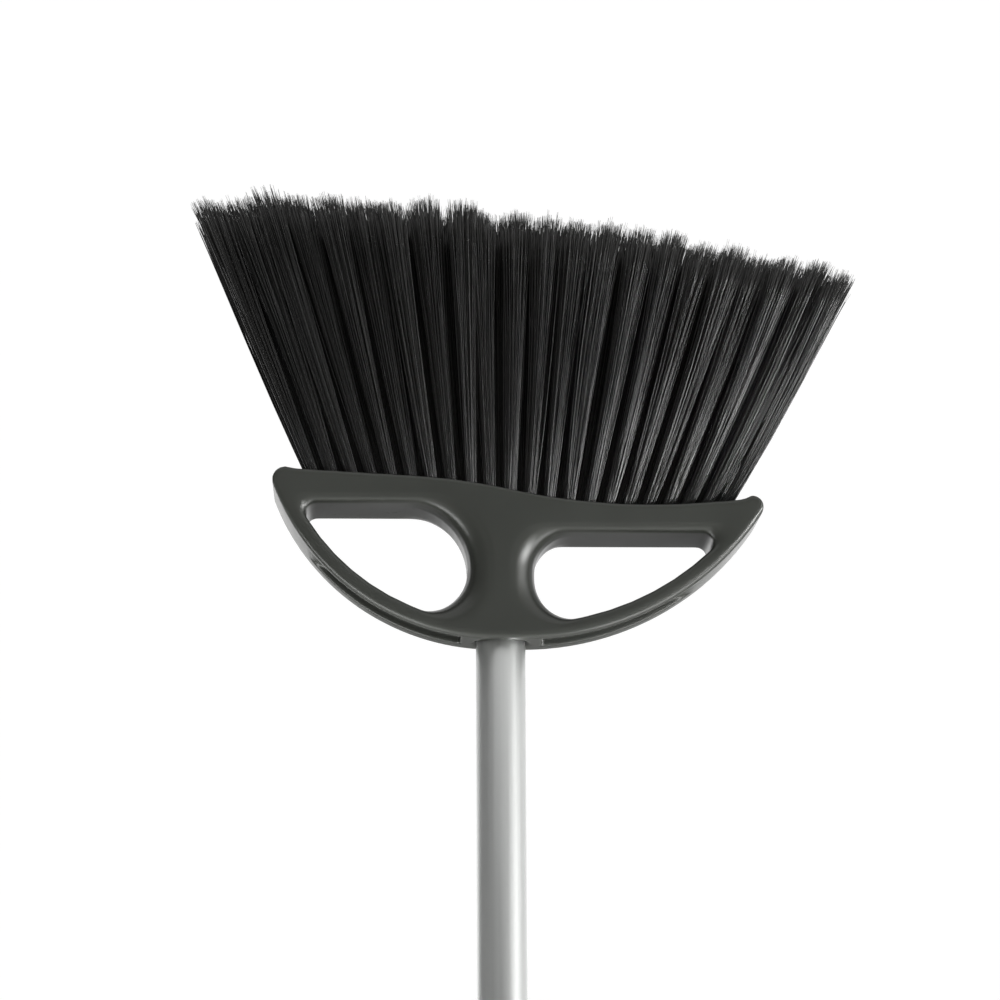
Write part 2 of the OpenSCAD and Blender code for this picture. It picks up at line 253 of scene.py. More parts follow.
class Graph:
    """Adds and links the nodes of one tree."""

    # Sockets of a Mix node that mixes colours
    SHARE = 0
    FIRST = 6
    SECOND = 7
    MIXED = 2

    def __init__(self, tree: bpy.types.NodeTree) -> None:
        """Keeps the tree.

        Args:
            tree: A material's, world's or group's node tree.
        """
        self.tree = tree

    def add(
        self, kind: str, inputs: dict[str | int, Any] | None = None, **settings: Any
    ) -> bpy.types.Node:
        """Adds a node.

        Args:
            kind: The node's type.
            inputs: Values, or output sockets to link, by input name or number.
            **settings: The node's own properties.

        Returns:
            The new node.
        """
        node = self.tree.nodes.new(kind)
        for key, value in settings.items():
            setattr(node, key, value)
        for key, value in (inputs or {}).items():
            self.feed(node, key, value)
        return node

    def feed(self, node: bpy.types.Node, key: str | int, value: Any) -> None:
        """Links an output to an input, or sets the input's value.

        Args:
            node: The node with the input.
            key: The input's name or number.
            value: An output socket or a plain value.
        """
        if isinstance(value, bpy.types.NodeSocket):
            self.tree.links.new(value, node.inputs[key])
        else:
            node.inputs[key].default_value = value

    def math(self, operation: str, first: Any, second: Any = 0.0) -> bpy.types.NodeSocket:
        """Adds a Math node.

        Args:
            operation: The node's operation.
            first: The first value or socket.
            second: The second value or socket.

        Returns:
            The result's socket.
        """
        node = self.add("ShaderNodeMath", operation=operation)
        self.feed(node, 0, first)
        self.feed(node, 1, second)
        return node.outputs[0]

    def spread(
        self, value: Any, low: float, high: float, start: float = 0.0, end: float = 1.0
    ) -> bpy.types.NodeSocket:
        """Maps a value that runs from start to end onto low to high, held at both ends.

        Args:
            value: The socket to map.
            low: The result at start.
            high: The result at end.
            start: The lowest value.
            end: The highest value.

        Returns:
            The mapped value's socket.
        """
        inputs = {"Value": value, "From Min": start, "From Max": end, "To Min": low, "To Max": high}
        return self.add("ShaderNodeMapRange", inputs, clamp=True).outputs["Result"]

    def waver(self, value: Any, middle: float, swing: float) -> bpy.types.NodeSocket:
        """Maps a value from 0 to 1 onto a swing to both sides of a middle."""
        return self.spread(value, middle - swing, middle + swing)

    def tint(self, share: Any, dark: Any, light: Any) -> bpy.types.NodeSocket:
        """Mixes two colours.

        Args:
            share: How much of the second colour.
            dark: The first colour or socket.
            light: The second colour or socket.

        Returns:
            The mixed colour's socket.
        """
        node = self.add("ShaderNodeMix", data_type="RGBA")
        self.feed(node, self.SHARE, share)
        self.feed(node, self.FIRST, (*dark, 1.0) if isinstance(dark, tuple) else dark)
        self.feed(node, self.SECOND, (*light, 1.0) if isinstance(light, tuple) else light)
        return node.outputs[self.MIXED]

    def emboss(self, shader: bpy.types.Node, height: Any, strength: float, depth: float) -> None:
        """Raises a shader's surface by a pattern.

        Args:
            shader: The shader with the normal.
            height: The pattern's socket.
            strength: How much of the pattern shows.
            depth: The pattern's real depth.
        """
        bump = self.add("ShaderNodeBump", {"Strength": strength, "Distance": depth, "Height": height})
        self.feed(shader, "Normal", bump.outputs["Normal"])


class Effects:
    """Surface effects that several finishes share, each a node group built once."""

    GRAIN = "moulded_grain"
    STREAKS = "drawn_streaks"
    SCUFFS = "light_scuffs"
    DRIFT_SCALE = 26.0
    PATCH_SCALE = 9.0

    @staticmethod
    def _group(
        name: str, inputs: dict[str, str], outputs: dict[str, str]
    ) -> tuple[Graph, dict[str, bpy.types.NodeSocket], bpy.types.Node]:
        """Starts a node group with named sockets.

        Args:
            name: The group's name.
            inputs: Socket types by input name.
            outputs: Socket types by output name.

        Returns:
            The group's graph, its input sockets by name, and its output node.
        """
        tree = bpy.data.node_groups.new(name, "ShaderNodeTree")
        for key, kind in inputs.items():
            tree.interface.new_socket(key, in_out="INPUT", socket_type=kind)
        for key, kind in outputs.items():
            tree.interface.new_socket(key, in_out="OUTPUT", socket_type=kind)
        graph = Graph(tree)
        start = graph.add("NodeGroupInput")
        end = graph.add("NodeGroupOutput")
        return graph, {key: start.outputs[key] for key in inputs}, end

    @staticmethod
    def _noise(graph: Graph, place: bpy.types.NodeSocket, **values: Any) -> bpy.types.NodeSocket:
        """Adds a noise texture.

        Args:
            graph: The group's graph.
            place: The socket of the places that it is read at.
            **values: The texture's values or sockets by input name.

        Returns:
            The noise's socket.
        """
        return graph.add("ShaderNodeTexNoise", {"Vector": place, **values}).outputs["Fac"]

    @classmethod
    def build(cls) -> None:
        """Builds all the groups."""
        cls._build_grain()
        cls._build_streaks()
        cls._build_scuffs()

    @classmethod
    def _build_grain(cls) -> None:
        """A fine moulded grain over slow drifts of tone."""
        graph, given, end = cls._group(
            cls.GRAIN,
            {"Place": "NodeSocketVector", "Fineness": "NodeSocketFloat"},
            {"Tone": "NodeSocketFloat", "Height": "NodeSocketFloat"},
        )
        fine = cls._noise(graph, given["Place"], Scale=given["Fineness"], Detail=4.0)
        slow = cls._noise(graph, given["Place"], Scale=cls.DRIFT_SCALE, Detail=3.0)
        graph.feed(end, "Tone", graph.spread(slow, 0.0, 1.0, start=0.3, end=0.7))
        graph.feed(end, "Height", fine)

    @classmethod
    def _build_streaks(cls) -> None:
        """Streaks that run along Z, as drawing leaves on metal."""
        graph, given, end = cls._group(
            cls.STREAKS,
            {"Place": "NodeSocketVector", "Fineness": "NodeSocketFloat", "Stretch": "NodeSocketFloat"},
            {"Streak": "NodeSocketFloat"},
        )
        scale = graph.add("ShaderNodeCombineXYZ", {"X": 1.0, "Y": 1.0, "Z": given["Stretch"]})
        factors = {0: given["Place"], 1: scale.outputs[0]}
        drawn = graph.add("ShaderNodeVectorMath", factors, operation="MULTIPLY").outputs[0]
        noise = cls._noise(graph, drawn, Scale=given["Fineness"], Detail=5.0, Roughness=0.65)
        graph.feed(end, "Streak", graph.spread(noise, 0.0, 1.0, start=0.25, end=0.75))

    @classmethod
    def _build_scuffs(cls) -> None:
        """Sparse light rubs, as handling leaves on plastic and metal."""
        graph, given, end = cls._group(
            cls.SCUFFS,
            {"Place": "NodeSocketVector", "Fineness": "NodeSocketFloat"},
            {"Scuff": "NodeSocketFloat"},
        )
        place, fineness = given["Place"], given["Fineness"]
        rubs = cls._noise(graph, place, Scale=fineness, Detail=6.0, Roughness=0.7, Distortion=0.6)
        where = cls._noise(graph, place, Scale=cls.PATCH_SCALE, Detail=1.0)
        sparse = graph.spread(rubs, 0.0, 1.0, start=0.6, end=0.75)
        patches = graph.spread(where, 0.0, 1.0, start=0.45, end=0.65)
        graph.feed(end, "Scuff", graph.math("MULTIPLY", sparse, patches))

    @staticmethod
    def place(graph: Graph, name: str, inputs: dict[str, Any]) -> bpy.types.Node:
        """Places a group in a material, on the piece's own coordinates.

        Args:
            graph: The material's graph.
            name: The group's name.
            inputs: The group's values by input name.

        Returns:
            The group's node.
        """
        node = graph.add("ShaderNodeGroup", node_tree=bpy.data.node_groups[name])
        coordinates = graph.add("ShaderNodeTexCoord")
        graph.feed(node, "Place", coordinates.outputs["Object"])
        for key, value in inputs.items():
            graph.feed(node, key, value)
        return node


# Finishes


def _material(name: str) -> tuple[bpy.types.Material, Graph, bpy.types.Node]:
    """Starts a material with one shader.

    Args:
        name: The material's name.

    Returns:
        The material, its graph and its Principled shader.
    """
    material = bpy.data.materials.new(name)
    material.use_nodes = True
    return material, Graph(material.node_tree), material.node_tree.nodes["Principled BSDF"]


@dataclass(frozen=True)
class MouldedPlastic:
    """A satin moulding: slow drifts of tone, fine grain and a few light rubs."""

    name: str
    dark: Colour
    light: Colour
    rub: Colour
    rough: float = 0.36
    rough_drift: float = 0.04
    specular: float = 0.5
    grain: float = 0.03 * MM
    grain_bump: float = 0.25
    fineness: float = 1500.0
    rub_fineness: float = 160.0
    rub_share: float = 0.35
    rub_rough: float = 0.15

    def dress(self) -> bpy.types.Material:
        """Mixes the finish.

        Returns:
            The finish as a material.
        """
        material, graph, shader = _material(self.name)
        grain = Effects.place(graph, Effects.GRAIN, {"Fineness": self.fineness})
        scuffs = Effects.place(graph, Effects.SCUFFS, {"Fineness": self.rub_fineness})
        tone, scuff = grain.outputs["Tone"], scuffs.outputs["Scuff"]
        toned = graph.tint(tone, self.dark, self.light)
        rubbed = graph.math("MULTIPLY", scuff, self.rub_share)
        graph.feed(shader, "Base Color", graph.tint(rubbed, toned, self.rub))
        drift = graph.waver(tone, self.rough, self.rough_drift)
        worn = graph.math("MULTIPLY", scuff, self.rub_rough)
        graph.feed(shader, "Roughness", graph.math("ADD", drift, worn))
        shader.inputs["Specular IOR Level"].default_value = self.specular
        graph.emboss(shader, grain.outputs["Height"], self.grain_bump, self.grain)
        return material


@dataclass(frozen=True)
class DrawnMetal:
    """Drawn metal with streaks along Z and a few rubs."""

    name: str
    dark: Colour
    light: Colour
    rough: float
    rough_drift: float = 0.05
    fineness: float = 900.0
    stretch: float = 0.01
    line_depth: float = 0.02 * MM
    line_bump: float = 0.15
    rub_fineness: float = 120.0
    rub_rough: float = 0.12

    def dress(self) -> bpy.types.Material:
        """Mixes the finish.

        Returns:
            The finish as a material.
        """
        material, graph, shader = _material(self.name)
        streaks = Effects.place(graph, Effects.STREAKS, {"Fineness": self.fineness, "Stretch": self.stretch})
        scuffs = Effects.place(graph, Effects.SCUFFS, {"Fineness": self.rub_fineness})
        streak, scuff = streaks.outputs["Streak"], scuffs.outputs["Scuff"]
        graph.feed(shader, "Base Color", graph.tint(streak, self.dark, self.light))
        shader.inputs["Metallic"].default_value = 1.0
        drift = graph.waver(streak, self.rough, self.rough_drift)
        worn = graph.math("MULTIPLY", scuff, self.rub_rough)
        graph.feed(shader, "Roughness", graph.math("ADD", drift, worn))
        graph.emboss(shader, streak, self.line_bump, self.line_depth)
        return material


@dataclass(frozen=True)
class Filament:
    """Black filament with a dark and a light strand's colour and roughness, paler at the split tips: partly
    the finer split ends' own scatter, partly painted light of the bright backdrop glowing through them.
    """

    name: str
    dark: Colour
    light: Colour
    frayed_and_backlit: Colour
    rough: tuple[float, float] = (0.2, 0.34)
    specular: float = 0.55
    fray_and_backlight_start: float = 0.82
    fray_rough: float = 0.2

    def dress(self) -> bpy.types.Material:
        """Mixes the finish.

        Returns:
            The finish as a material.
        """
        material, graph, shader = _material(self.name)
        tone = graph.add("ShaderNodeAttribute", attribute_name=BristleRow.TONE)
        run = graph.add("ShaderNodeAttribute", attribute_name=BristleRow.RUN)
        body = graph.tint(tone.outputs["Fac"], self.dark, self.light)
        # The tips' paler colour is partly the split ends' own scatter and partly painted backlight from the
        # bright backdrop.
        fray_and_backlight = graph.spread(run.outputs["Fac"], 0.0, 1.0, start=self.fray_and_backlight_start)
        graph.feed(shader, "Base Color", graph.tint(fray_and_backlight, body, self.frayed_and_backlit))
        rough = graph.spread(tone.outputs["Fac"], *self.rough)
        worn = graph.math("MULTIPLY", fray_and_backlight, self.fray_rough)
        graph.feed(shader, "Roughness", graph.math("ADD", rough, worn))
        shader.inputs["Specular IOR Level"].default_value = self.specular
        return material


@dataclass
class Finishes:
    """All the finishes of the broom, by slot."""

    made: dict[Slot, bpy.types.Material] = field(default_factory=dict)

    def build(self) -> None:
        """Makes every material once."""
        Effects.build()
        charcoal = MouldedPlastic(
            "charcoal_moulding",
            dark=(0.0262, 0.0283, 0.0236),
            light=(0.0308, 0.0330, 0.0280),
            rub=(0.05, 0.052, 0.048),
        )
        tip = MouldedPlastic(
            "tip_moulding",
            dark=(0.022, 0.023, 0.023),
            light=(0.028, 0.029, 0.029),
            rub=(0.06, 0.06, 0.06),
        )
        cap = MouldedPlastic(
            "cap_moulding",
            dark=(0.016, 0.017, 0.017),
            light=(0.022, 0.023, 0.023),
            rub=(0.05, 0.05, 0.05),
        )
        tube = DrawnMetal(
            "satin_aluminium",
            dark=(0.56, 0.57, 0.56),
            light=(0.61, 0.62, 0.61),
            rough=0.4,
        )
        wire = DrawnMetal(
            "anchor_wire",
            dark=(0.46, 0.47, 0.48),
            light=(0.56, 0.57, 0.58),
            rough=0.3,
            fineness=2500.0,
        )
        filament = Filament(
            "black_filament",
            dark=(0.0080, 0.0079, 0.0075),
            light=(0.0110, 0.0108, 0.0102),
            # Paler tip colour: frayed ends plus painted backlight glowing through the fine tips.
            frayed_and_backlit=(0.028, 0.0278, 0.0265),
        )
        self.made = {
            Slot.HEAD: charcoal.dress(),
            Slot.TIP: tip.dress(),
            Slot.CAP: cap.dress(),
            Slot.TUBE: tube.dress(),
            Slot.STAPLE: wire.dress(),
            Slot.BRISTLE: filament.dress(),
        }

    def coat(self, piece: bpy.types.Object, slot: Slot) -> None:
        """Gives a piece one finish all over.

        Args:
            piece: The mesh object.
            slot: The record's slot of the finish.
        """
        piece.data.materials.clear()
        piece.data.materials.append(self.made[slot])


def hand_over(piece: bpy.types.Object, body: Body, slot: Slot, *nodes: str) -> None:
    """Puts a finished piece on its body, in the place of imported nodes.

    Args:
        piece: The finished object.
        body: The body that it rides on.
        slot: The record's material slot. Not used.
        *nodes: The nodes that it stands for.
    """
    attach(piece, body.value)
    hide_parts(*nodes)
    LOG.info("%s: %d faces on %s", piece.name, len(piece.data.polygons), body.value)


# The broom's pieces


@dataclass
class Moulding:
    """A moulded piece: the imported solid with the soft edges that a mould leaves."""

    node: str
    name: str
    body: Body
    slot: Slot
    voxel: float
    soften: int
    most_triangles: int
    pull: float = 0.5

    def build(self, node: bpy.types.Object, finishes: Finishes) -> bpy.types.Object:
        """Models and dresses the moulding.

        Args:
            node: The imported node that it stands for.
            finishes: The broom's finishes.

        Returns:
            The finished piece.
        """
        piece = Bench.copy_of(node, self.name)
        Bench.modify(piece, "REMESH", mode="VOXEL", voxel_size=self.voxel, use_smooth_shade=True)
        Bench.modify(piece, "SMOOTH", factor=self.pull, iterations=self.soften)
        # The remesh gives quads, each of two triangles
        share = self.most_triangles / (2.0 * len(piece.data.polygons))
        if share < 1.0:
            Bench.modify(piece, "DECIMATE", decimate_type="COLLAPSE", ratio=share)
        Bench.take(piece)
        bpy.ops.object.shade_smooth()
        finishes.coat(piece, self.slot)
        hand_over(piece, self.body, self.slot, self.node)
        return piece


@dataclass
class BristleEdge:
    """The S-shaped edge of the head that the tufts are set in, with its depth below the mouth."""

    mouth: float
    middle_depth: float = 57.5 * MM
    middle_x: float = -4.0 * MM
    arc: float = 250.0 * MM
    slope: float = math.radians(12.2)
    long_slope: float = math.radians(3.3)
    short_slope: float = math.radians(-4.3)
    recess: float = 3.0 * MM
    backing: float = 2.0 * MM
    width: float = 26.4 * MM

    def _rise(self, run: np.ndarray, end_slope: float) -> np.ndarray:
        """The change of height along one half of the S.

        Args:
            run: Distances from the middle.
            end_slope: The slope of the straight end, in radians.

        Returns:
            The rise at each distance.
        """
        turn = self.arc * (math.sin(self.slope) - math.sin(end_slope))
        bent = np.minimum(run, turn)
        angle = np.arcsin(math.sin(self.slope) - bent / self.arc)
        arc = self.arc * (np.cos(angle) - math.cos(self.slope))
        return arc + np.maximum(run - turn, 0.0) * math.tan(end_slope)

    def height(self, x: np.ndarray) -> np.ndarray:
        """The edge's height at places along the head.

        Args:
            x: Places along the head.

        Returns:
            Heights in the broom's frame.
        """
        run = np.abs(x - self.middle_x)
        long_side = -self._rise(run, self.long_slope)
        short_side = self._rise(run, self.short_slope)
        return self.mouth - self.middle_depth + np.where(x > self.middle_x, long_side, short_side)


@dataclass
class BristleFan:
    """How the tufts spread from the head and where their tips end."""

    mouth: float
    centre_x: float = 0.5 * MM
    centre_height: float = 119.0 * MM
    spread_height: float = 66.0 * MM
    tip_depth: float = 165.0 * MM
    tip_slope: float = math.tan(math.radians(6.75))
    tip_curve: float = 1300.0 * MM

    def tips(self, feet: np.ndarray) -> np.ndarray:
        """Where straight strands from given feet reach the curved line of the tips.

        Args:
            feet: Places on the head, one row each.

        Returns:
            The tips, one row each.
        """
        reach = feet[:, 0] - self.centre_x
        foot_z = feet[:, 2] - self.mouth
        drop = self.centre_height - foot_z
        bend = 0.5 / self.tip_curve
        square = bend * reach**2
        linear = drop - (self.tip_slope - self.centre_x / self.tip_curve) * reach
        level = self.centre_height + self.tip_depth
        level += self.tip_slope * self.centre_x - bend * self.centre_x**2
        share = 2.0 * level / (linear + np.sqrt(linear**2 + 4.0 * square * level))
        tip_z = self.centre_height - share * drop
        wide = (self.spread_height - tip_z) / (self.spread_height - foot_z)
        return np.column_stack((self.centre_x + share * reach, feet[:, 1] * wide, tip_z + self.mouth))


@dataclass
class FilamentStencil:
    """One upright filament: its width is in filament radii, its run is 0 at the root and 1 at the tip."""

    sides: int = 4
    cuts: tuple[float, ...] = (0.012, 0.14, 0.3, 0.55, 0.88)
    stem_end: float = 0.96
    prongs: int = 2
    prong_sides: int = 3
    prong_start: float = 0.93
    prong_offset: float = 0.3
    prong_lean: float = 1.6
    prong_root: float = 0.6
    prong_tip: float = 0.22

    def model(self) -> tuple[np.ndarray, np.ndarray]:
        """Models the filament with its split tip.

        Returns:
            Its points and its triangles.
        """
        Bench.clear()
        bpy.ops.mesh.primitive_cylinder_add(
            vertices=self.sides, radius=1.0, depth=self.stem_end, location=(0, 0, self.stem_end / 2.0)
        )
        stem = Bench.settle("filament")
        bpy.ops.object.mode_set(mode="EDIT")
        for cut in self.cuts:
            bpy.ops.mesh.select_all(action="SELECT")
            bpy.ops.mesh.bisect(plane_co=(0, 0, cut), plane_no=(0, 0, 1))
        bpy.ops.object.mode_set(mode="OBJECT")
        prongs = [self._prong(turn) for turn in range(self.prongs)]
        Bench.take(stem)
        for prong in prongs:
            prong.select_set(True)
        bpy.ops.object.join()
        Bench.modify(stem, "TRIANGULATE")
        points = np.array([vertex.co for vertex in stem.data.vertices])
        triangles = np.array([polygon.vertices for polygon in stem.data.polygons])
        bpy.data.objects.remove(stem)
        return points, triangles

    def _prong(self, turn: int) -> bpy.types.Object:
        """Models one prong of the split tip.

        Args:
            turn: The prong's number.

        Returns:
            A thin cone that leans outwards.
        """
        depth = 1.0 - self.prong_start
        angle = 2.0 * math.pi * turn / self.prongs
        Bench.clear()
        bpy.ops.mesh.primitive_cone_add(
            vertices=self.prong_sides,
            radius1=self.prong_root,
            radius2=self.prong_tip,
            depth=depth,
            location=(0, 0, self.prong_start + depth / 2.0),
        )
        prong = Bench.settle("prong")
        for vertex in prong.data.vertices:
            lean = self.prong_lean * (vertex.co.z - self.prong_start) / depth + self.prong_offset
            vertex.co.x += lean * math.cos(angle)
            vertex.co.y += lean * math.sin(angle)
        return prong


@dataclass
class BristleRow:
    """One row of tufts on its slice of the backing.

    The pairs tip_spread, splay, crown and end_trim hold the long end's value, then the short end's. The
    pairs thickness and tuft_width are the lowest and the highest share. The row has end_parts equal parts,
    and end_trim fades out over the first and the last of them.
    """

    number: int
    edge: BristleEdge
    fan: BristleFan
    # Where the tufts stand
    rows: int = ROWS
    tufts: int = 22
    long_end: float = 72.0 * MM
    short_end: float = 86.5 * MM
    end_margin: float = 3.2 * MM
    backing_steps: int = 64
    # How the filaments spread
    filaments: int = 110
    radius: float = 0.22 * MM
    thickness: tuple[float, float] = (0.85, 1.12)
    root_spread: float = 2.1 * MM
    tip_spread: tuple[float, float] = (5.4 * MM, 4.2 * MM)
    tip_depth_spread: float = 4.4 * MM
    tuft_width: tuple[float, float] = (0.9, 1.1)
    tuft_lean: float = 0.8 * MM
    jitter: float = 0.05
    clumps: int = 6
    clump_lean: float = 0.6 * MM
    loose: float = 0.5 * MM
    stray_share: float = 0.03
    stray_reach: float = 2.2
    # How the filaments bend
    splay: tuple[float, float] = (1.2 * MM, 1.7 * MM)
    splay_power: int = 6
    belly: float = 2.6 * MM
    end_bow: float = 1.4 * MM
    strand_bow: float = 0.5 * MM
    tuft_bow: float = 0.35 * MM
    # How the tips are trimmed
    over_length: float = 1.0 * MM
    tuft_trim: float = 0.9 * MM
    strand_trim: float = 0.7 * MM
    crown: tuple[float, float] = (1.2 * MM, 2.4 * MM)
    crown_level: float = 0.9
    end_trim: tuple[float, float] = (6.0 * MM, 1.0 * MM)
    end_parts: float = 12.0

    TONE = "tone"
    RUN = "run"

    @property
    def node(self) -> str:
        """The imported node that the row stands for."""
        return f"bristle_row_{self.number}"

    @property
    def depth(self) -> float:
        """The row's place through the head's thickness."""
        return (self.number - 1 - (self.rows - 1) / 2.0) * self.edge.width / self.rows

    def feet(self) -> np.ndarray:
        """The middle of each tuft where it leaves the backing, every other row set between its neighbours'.

        Returns:
            One place per tuft.
        """
        shift = (self.number - 1) % 2
        pitch = (self.long_end + self.short_end) / (self.tufts - 1)
        x = self.long_end - (np.arange(self.tufts - shift) + shift / 2.0) * pitch
        z = self.edge.height(x) + self.edge.recess - self.edge.backing
        return np.column_stack((x, np.full_like(x, self.depth), z))

    @staticmethod
    def _between(ends: tuple[float, float], side: np.ndarray) -> np.ndarray:
        """Values that run evenly from the long end's, at side 0, to the short end's, at side 1."""
        return ends[0] + (ends[1] - ends[0]) * side

    @staticmethod
    def _arch(run: np.ndarray, fall: int) -> np.ndarray:
        """A curve that is 0 at a filament's root and tip, and 1 at its top.

        Args:
            run: Places along the filament, from 0 to 1.
            fall: 1 for a top half way up, 2 for one a third of the way up.

        Returns:
            The curve at each place.
        """
        top = 1.0 / (1.0 + fall)
        return run * (1.0 - run) ** fall / (top * (1.0 - top) ** fall)

    def paths(self, rng: np.random.Generator) -> dict[str, np.ndarray]:
        """Roots, tips and bends of all the row's filaments.

        Args:
            rng: The row's own source of chance.

        Returns:
            Arrays by name, one row per filament.
        """
        feet = self.feet()
        count = len(feet) * self.filaments
        tuft = np.repeat(np.arange(len(feet)), self.filaments)
        order = np.tile(np.arange(self.filaments), len(feet))
        ring = np.sqrt((order + 0.5) / self.filaments)
        angle = order * GOLDEN_ANGLE + rng.uniform(0.0, 2.0 * math.pi, len(feet))[tuft]
        disc = np.column_stack((ring * np.cos(angle), ring * np.sin(angle), np.zeros(count)))
        disc[:, :2] += rng.normal(0.0, self.jitter, (count, 2))
        roots = feet[tuft] + self.root_spread * disc
        side = np.linspace(0.0, 1.0, len(feet))[tuft]
        wide = self._between(self.tip_spread, side)
        spread = np.column_stack((wide, np.full(count, self.tip_depth_spread), np.zeros(count)))
        width = spread * rng.uniform(*self.tuft_width, (len(feet), 1))[tuft]
        lean = rng.normal(0.0, self.tuft_lean, (len(feet), 3))[tuft]
        clump = rng.normal(0.0, self.clump_lean, (len(feet) * self.clumps, 3))
        clump = clump[tuft * self.clumps + order % self.clumps]
        stray = np.where(rng.uniform(size=count) < self.stray_share, self.stray_reach, 1.0)
        loose = rng.normal(0.0, self.loose, (count, 3)) * stray[:, None]
        tips = self.fan.tips(feet)[tuft] + width * disc + lean + clump + loose
        along = tips - roots
        length = np.linalg.norm(along, axis=1)
        trim = rng.normal(0.0, self.tuft_trim, len(feet))[tuft]
        trim += self._between(self.crown, side) * (self.crown_level - ring**2)
        trim += rng.normal(0.0, self.strand_trim, count) + self.over_length
        trim -= self.end_trim[0] * np.clip(1.0 - self.end_parts * side, 0.0, 1.0)
        trim -= self.end_trim[1] * np.clip(1.0 - self.end_parts * (1.0 - side), 0.0, 1.0)
        tips = roots + along * (1.0 + trim / length)[:, None]
        bow = rng.normal(0.0, self.strand_bow, (count, 3))
        bow += rng.normal(0.0, self.tuft_bow, (len(feet), 3))[tuft]
        bow[:, 0] -= self.end_bow * np.clip(-roots[:, 0] / self.short_end, 0.0, 1.0) ** 2
        return {
            "roots": roots,
            "tips": tips,
            "bow": bow,
            "splay": disc * self._between(self.splay, side)[:, None],
            "belly": np.full(count, self.belly * self.depth / (self.edge.width / 2.0)),
            "roll": rng.uniform(0.0, 2.0 * math.pi, count),
            "tone": rng.uniform(0.0, 1.0, count),
            "thick": self.radius * rng.uniform(*self.thickness, count),
        }

    def lay(self, stencil: np.ndarray, paths: dict[str, np.ndarray]) -> np.ndarray:
        """Bends a copy of the stencil along every filament's path.

        Args:
            stencil: The stencil's points.
            paths: The filaments' roots, tips, bows, splays, bellies, rolls and radii.

        Returns:
            All points, filament by filament.
        """
        along = paths["tips"] - paths["roots"]
        way = along / np.linalg.norm(along, axis=1)[:, None]
        across = np.cross(np.array([0.0, 1.0, 0.0]), way)
        across /= np.linalg.norm(across, axis=1)[:, None]
        beside = np.cross(way, across)
        cos, sin = np.cos(paths["roll"])[:, None], np.sin(paths["roll"])[:, None]
        u = stencil[None, :, 0] * cos - stencil[None, :, 1] * sin
        v = stencil[None, :, 0] * sin + stencil[None, :, 1] * cos
        run = stencil[None, :, 2, None]
        line = paths["roots"][:, None, :] + along[:, None, :] * run
        line = line + paths["bow"][:, None, :] * self._arch(run, fall=1)
        line = line + paths["splay"][:, None, :] * run**self.splay_power
        line[:, :, 1] += paths["belly"][:, None] * self._arch(run, fall=2)[:, :, 0]
        thick = paths["thick"][:, None, None]
        return line + thick * (u[:, :, None] * across[:, None, :] + v[:, :, None] * beside[:, None, :])

    def build(
        self, stencil: tuple[np.ndarray, np.ndarray], finishes: Finishes, rng: np.random.Generator
    ) -> bpy.types.Object:
        """Models and dresses the row.

        Args:
            stencil: One filament's points and triangles.
            finishes: The broom's finishes.
            rng: The row's own source of chance.

        Returns:
            The finished piece.
        """
        points, triangles = stencil
        paths = self.paths(rng)
        laid = self.lay(points, paths)
        count = len(laid)
        faces = triangles[None, :, :] + (np.arange(count) * len(points))[:, None, None]
        mesh = bpy.data.meshes.new(f"tufts_{self.number}")
        mesh.from_pydata(laid.reshape(-1, 3), [], faces.reshape(-1, 3))
        for name, values in (
            (self.TONE, np.repeat(paths["tone"], len(points))),
            (self.RUN, np.tile(points[:, 2], count)),
        ):
            mesh.attributes.new(name, "FLOAT", "POINT").data.foreach_set("value", values.astype(np.float32))
        piece = bpy.data.objects.new(f"tufts_{self.number}", mesh)
        bpy.context.scene.collection.objects.link(piece)
        Bench.take(piece)
        bpy.ops.object.shade_smooth()
        finishes.coat(piece, Slot.BRISTLE)
        backing = self.backing_slice()
        finishes.coat(backing, Slot.HEAD)
        Bench.take(piece)
        backing.select_set(True)
        bpy.ops.object.join()
        hand_over(piece, Body.HEAD, Slot.BRISTLE, self.node)
        return piece

    def backing_slice(self) -> bpy.types.Object:
        """Models the slice of the head that the row stands on.

        Returns:
            A band that follows the S-shaped edge.
        """
        low, high = -self.short_end - self.end_margin, self.long_end + self.end_margin
        width = self.edge.width / self.rows
        Bench.clear()
        bpy.ops.mesh.primitive_grid_add(x_subdivisions=self.backing_steps, y_subdivisions=1, size=1.0)
        band = Bench.settle(f"backing_{self.number}")
        for vertex in band.data.vertices:
            x = low + (vertex.co.x + 0.5) * (high - low)
            z = self.edge.height(np.array([x]))[0] + self.edge.recess
            vertex.co = (x, self.depth + vertex.co.y * width, z)
        Bench.modify(band, "SOLIDIFY", thickness=self.edge.backing, offset=-1.0)
        Bench.close_up(band)
        Bench.smooth(band)
        return band


@dataclass
class HandleTube:
    """The drawn tube, with rounded rims."""

    radius: float = 9.525 * MM
    wall: float = 1.0 * MM
    drawn_in: float = 0.25 * MM
    full_from: float = 1.0 * MM
    taper_ratio: float = 2.0
    rim: float = 0.3 * MM
    rim_middle: float = 0.3
    steps: int = 128
    node: str = "handle_tube"

    def build(self, mouth: float, finishes: Finishes) -> bpy.types.Object:
        """Models and dresses the tube.

        Args:
            mouth: The height of the head's mouth.
            finishes: The broom's finishes.

        Returns:
            The finished piece.
        """
        low, high = (corner.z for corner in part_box(self.node))
        inner = self.radius - self.wall
        drawn = self.radius - self.drawn_in
        full = mouth + self.full_from
        taper = self.taper_ratio * self.drawn_in
        middle = self.rim_middle * self.rim
        profile = [
            (inner, low),
            (drawn - self.rim, low),
            (drawn, low + self.rim),
            (drawn, full),
            (self.radius, full + taper),
            (self.radius, high - self.rim),
            (self.radius - middle, high - middle),
            (self.radius - self.rim, high),
            (inner, high),
        ]
        piece = Bench.turned("tube", profile, self.steps)
        Bench.smooth(piece)
        finishes.coat(piece, Slot.TUBE)
        hand_over(piece, Body.HANDLE, Slot.TUBE, self.node)
        return piece


